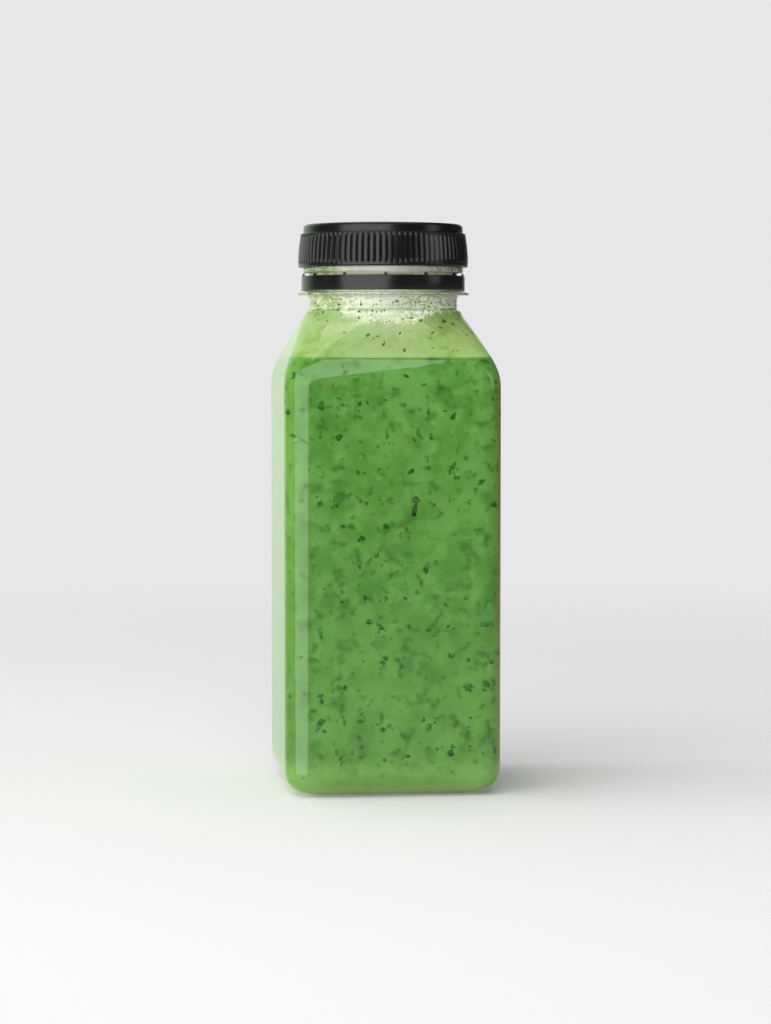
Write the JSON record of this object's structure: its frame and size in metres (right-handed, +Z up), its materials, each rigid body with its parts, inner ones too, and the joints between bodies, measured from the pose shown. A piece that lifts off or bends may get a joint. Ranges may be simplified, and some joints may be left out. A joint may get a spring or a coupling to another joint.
{
  "type": "bottled green juice",
  "caption": "Square clear juice bottle with rounded corners and slanted shoulders, full of green juice with leaf specks, closed by a ribbed black screw cap above a tamper band.",
  "frame": {"origin": "middle of the foot, on the surface the bottle stands on", "axes": "+Z up along the bottle's axis; the flat sides face -X, +X, -Y and +Y, and -Y is the front"},
  "size_m": [0.052, 0.052, 0.1373],
  "materials": {
    "clear_plastic": "clear glossy plastic",
    "green_juice": "wet, slightly cloudy green liquid with leaf specks",
    "black_band": "smooth black plastic",
    "black_cap": "satin black plastic with upright ribs"
  },
  "bodies": {
    "root": {"bottle": "clear_plastic", "juice": "green_juice", "tamper_band": "black_band", "cap": "black_cap"}
  },
  "joints": []
}
